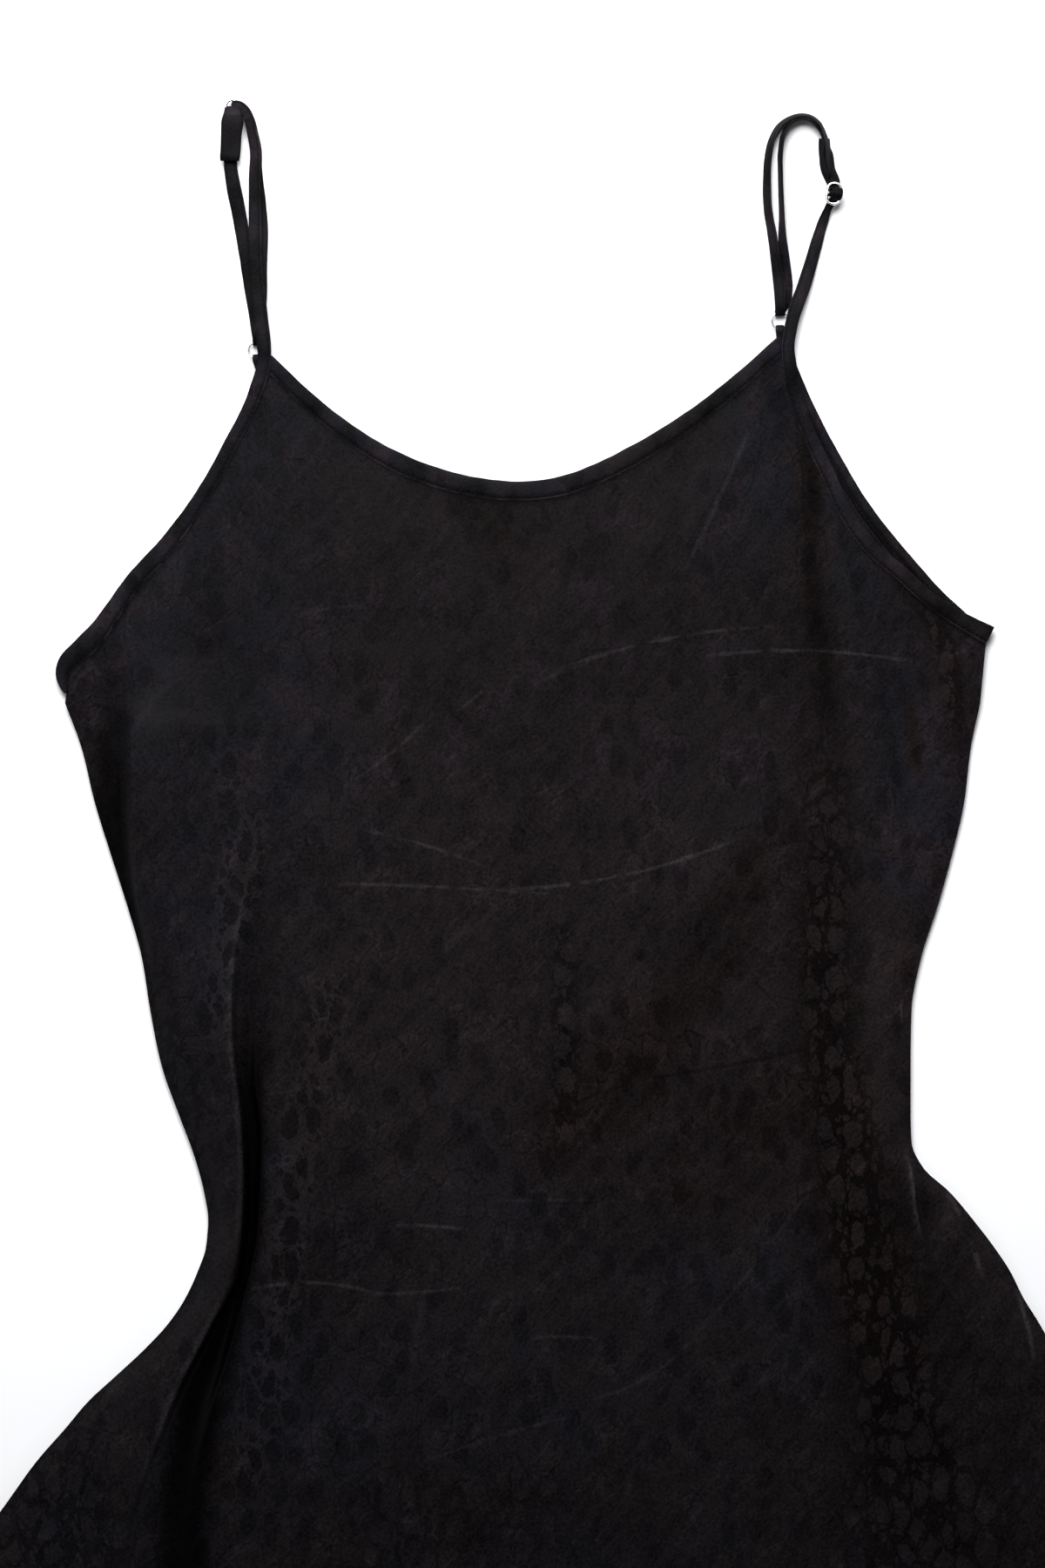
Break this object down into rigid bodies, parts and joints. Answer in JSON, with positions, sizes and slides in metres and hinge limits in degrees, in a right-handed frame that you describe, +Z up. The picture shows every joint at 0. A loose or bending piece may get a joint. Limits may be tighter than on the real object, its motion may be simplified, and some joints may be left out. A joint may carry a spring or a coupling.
{
  "type": "slip dress",
  "caption": "Sleeveless cloth dress laid flat, scooped neck, fitted waist, flared skirt, thin adjustable straps with metal sliders and rings.",
  "frame": {"origin": "middle of the laid dress on the surface it rests on", "axes": "+Y from the hem to the neckline and straps, +Z up off the surface, out of the front"},
  "size_m": [0.675, 1.1069, 0.012],
  "materials": {
    "cloth": "matt washed black cloth with a tone on tone pebble pattern",
    "binding": "matt washed black bias strip",
    "metal": "polished"
  },
  "bodies": {
    "root": {"back_panel": "cloth", "front_panel": "cloth", "front_neck_binding": "binding", "front_armhole_binding_left": "binding", "front_armhole_binding_right": "binding", "back_neck_binding": "binding", "back_armhole_binding_left": "binding", "back_armhole_binding_right": "binding", "strap_left": "binding", "strap_right": "binding", "ring_tab_left": "binding", "ring_tab_right": "binding", "ring_left": "metal", "ring_right": "metal", "slider_left": "metal", "slider_right": "metal"}
  },
  "joints": []
}
